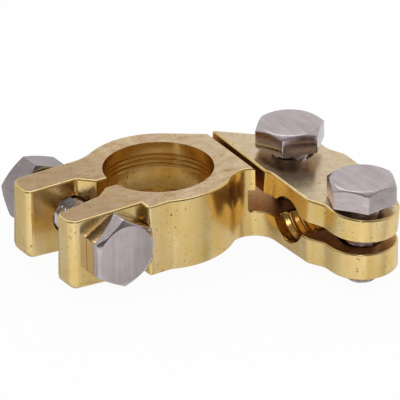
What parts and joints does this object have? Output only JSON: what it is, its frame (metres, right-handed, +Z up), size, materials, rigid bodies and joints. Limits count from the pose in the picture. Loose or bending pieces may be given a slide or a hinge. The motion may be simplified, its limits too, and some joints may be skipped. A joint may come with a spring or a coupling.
{
  "type": "battery terminal clamp",
  "caption": "Brass battery terminal clamp: a split ring with two bolted ears grips the post, and a loose upper jaw with two screws holds the cable.",
  "frame": {"origin": "axis of the post bore, on the underside of the ring", "axes": "+X from the ears towards the cable arm, +Y towards the nut's ear, +Z up along the post bore"},
  "size_m": [0.0498, 0.0482, 0.0187],
  "materials": {
    "brass": "drawn and tumbled",
    "brass_jaw": "drawn and tumbled",
    "steel": "brushed stainless"
  },
  "bodies": {
    "clamp": {"clamp_body": "brass", "ear_bolt": "steel"},
    "nut": {"ear_nut": "steel"},
    "jaw": {"cable_jaw": "brass_jaw"},
    "inner_screw": {"inner_screw": "steel"},
    "outer_screw": {"outer_screw": "steel"}
  },
  "joints": [
    {"name": "nut_turn", "type": "hinge", "parent": "clamp", "child": "nut", "pos_m": [-0.0139, 0.00935, 0.006], "axis": [0, 1, 0], "continuous": true},
    {"name": "jaw_slide", "type": "slide", "parent": "clamp", "child": "jaw", "axis": [0, 0, 1], "range_m": [-0.0015, 0.0002]},
    {"name": "inner_screw_turn", "type": "hinge", "parent": "clamp", "child": "inner_screw", "pos_m": [0.0207, -0.0062, 0.006], "axis": [0, 0, 1], "continuous": true},
    {"name": "outer_screw_turn", "type": "hinge", "parent": "clamp", "child": "outer_screw", "pos_m": [0.0207, -0.026, 0.006], "axis": [0, 0, 1], "continuous": true}
  ]
}
